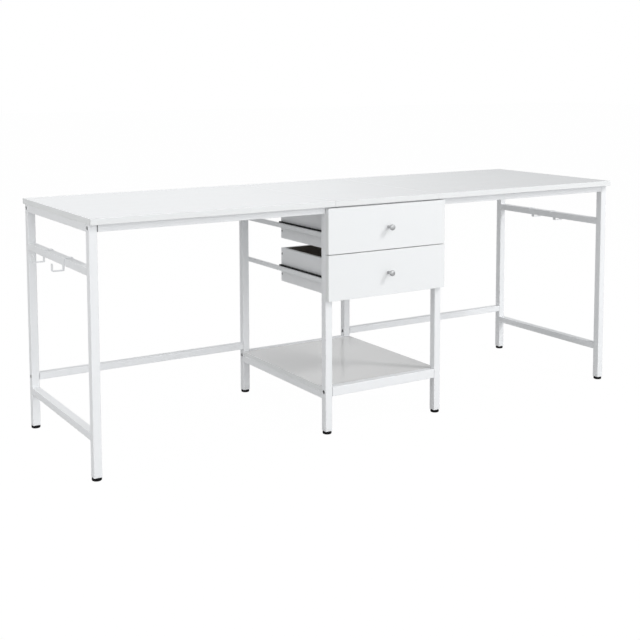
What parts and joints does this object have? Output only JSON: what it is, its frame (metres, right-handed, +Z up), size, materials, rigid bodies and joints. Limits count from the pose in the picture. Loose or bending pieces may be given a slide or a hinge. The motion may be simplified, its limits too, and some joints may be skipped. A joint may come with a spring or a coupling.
{
  "type": "sewing table",
  "caption": "Long white desk on a square steel tube frame with drawers and a shelf in its middle bay, hooks on both ends and push-in feet.",
  "frame": {"origin": "on the floor, under the middle of the whole table's bounding box, knobs and hooks included", "axes": "+X along the table's length, to the right of someone at the drawers; +Y to the back; +Z up"},
  "size_m": [2.072, 0.6468, 0.75],
  "materials": {
    "white_powder_coat": "smooth satin white powder coat over steel tube",
    "top_laminate": "glossy white laminate on particle board",
    "shelf_laminate": "glossy white laminate on particle board",
    "drawer_front_laminate": "satin white laminate on particle board",
    "drawer_box_foil": "grey foil on thin board",
    "satin_chrome": "satin chrome",
    "black_plastic": "matt moulded black plastic",
    "black_slide_steel": "black e-coat on rolled steel",
    "bright_steel": "bright steel balls and cage",
    "zinc_steel": "zinc plated steel"
  },
  "bodies": {
    "table_frame": {"centre_top_panel": "top_laminate", "feet": "black_plastic", "frame_bolts": "zinc_steel", "joining_studs": "zinc_steel", "left_back_stretcher": "white_powder_coat", "left_back_top_rail": "white_powder_coat", "left_centre_back_leg": "white_powder_coat", "left_centre_front_leg": "white_powder_coat", "left_centre_top_rail": "white_powder_coat", "left_end_back_leg": "white_powder_coat", "left_end_front_leg": "white_powder_coat", "left_end_hook_rail": "white_powder_coat", "left_end_low_rail": "white_powder_coat", "left_end_top_rail": "white_powder_coat", "left_front_top_rail": "white_powder_coat", "left_shelf_side_rail": "white_powder_coat", "left_top_panel": "top_laminate", "middle_top_rails": "white_powder_coat", "panel_screws": "zinc_steel", "right_back_stretcher": "white_powder_coat", "right_back_top_rail": "white_powder_coat", "right_centre_back_leg": "white_powder_coat", "right_centre_front_leg": "white_powder_coat", "right_centre_top_rail": "white_powder_coat", "right_end_back_leg": "white_powder_coat", "right_end_front_leg": "white_powder_coat", "right_end_hook_rail": "white_powder_coat", "right_end_low_rail": "white_powder_coat", "right_end_top_rail": "white_powder_coat", "right_front_top_rail": "white_powder_coat", "right_shelf_side_rail": "white_powder_coat", "right_top_panel": "top_laminate", "runner_rails": "white_powder_coat", "shelf_back_rail": "white_powder_coat", "shelf_board": "shelf_laminate", "shelf_front_rail": "white_powder_coat", "slide_channel_screws": "zinc_steel", "slide_channels": "black_slide_steel"},
    "upper_drawer": {"upper_drawer_bottom": "drawer_box_foil", "upper_drawer_box_back": "drawer_box_foil", "upper_drawer_box_front": "drawer_box_foil", "upper_drawer_front": "drawer_front_laminate", "upper_drawer_knob": "satin_chrome", "upper_drawer_screws": "zinc_steel", "upper_drawer_sides": "drawer_box_foil", "upper_slide_members": "black_slide_steel"},
    "upper_ball_cages": {"upper_ball_cages": "bright_steel"},
    "lower_drawer": {"lower_drawer_bottom": "drawer_box_foil", "lower_drawer_box_back": "drawer_box_foil", "lower_drawer_box_front": "drawer_box_foil", "lower_drawer_front": "drawer_front_laminate", "lower_drawer_knob": "satin_chrome", "lower_drawer_screws": "zinc_steel", "lower_drawer_sides": "drawer_box_foil", "lower_slide_members": "black_slide_steel"},
    "lower_ball_cages": {"lower_ball_cages": "bright_steel"},
    "left_front_hook": {"left_front_hook": "white_powder_coat"},
    "left_back_hook": {"left_back_hook": "white_powder_coat"},
    "right_front_hook": {"right_front_hook": "white_powder_coat"},
    "right_back_hook": {"right_back_hook": "white_powder_coat"}
  },
  "joints": [
    {"name": "upper_drawer_slide", "type": "slide", "parent": "table_frame", "child": "upper_drawer", "axis": [0, -1, 0], "range_m": [0, 0.26]},
    {"name": "upper_cage_travel", "type": "slide", "parent": "table_frame", "child": "upper_ball_cages", "axis": [0, -1, 0], "range_m": [0, 0.13]},
    {"name": "lower_drawer_slide", "type": "slide", "parent": "table_frame", "child": "lower_drawer", "axis": [0, -1, 0], "range_m": [0, 0.26]},
    {"name": "lower_cage_travel", "type": "slide", "parent": "table_frame", "child": "lower_ball_cages", "axis": [0, -1, 0], "range_m": [0, 0.13]},
    {"name": "left_front_hook_slide", "type": "slide", "parent": "table_frame", "child": "left_front_hook", "axis": [0, 1, 0], "range_m": [-0.17, 0.08]},
    {"name": "left_back_hook_slide", "type": "slide", "parent": "table_frame", "child": "left_back_hook", "axis": [0, 1, 0], "range_m": [-0.08, 0.14]},
    {"name": "right_front_hook_slide", "type": "slide", "parent": "table_frame", "child": "right_front_hook", "axis": [0, 1, 0], "range_m": [-0.225, 0.05]},
    {"name": "right_back_hook_slide", "type": "slide", "parent": "table_frame", "child": "right_back_hook", "axis": [0, 1, 0], "range_m": [-0.045, 0.145]}
  ],
  "couplings": [
    {"joint": "upper_cage_travel", "follows": "upper_drawer_slide", "ratio": 0.5},
    {"joint": "lower_cage_travel", "follows": "lower_drawer_slide", "ratio": 0.5}
  ]
}
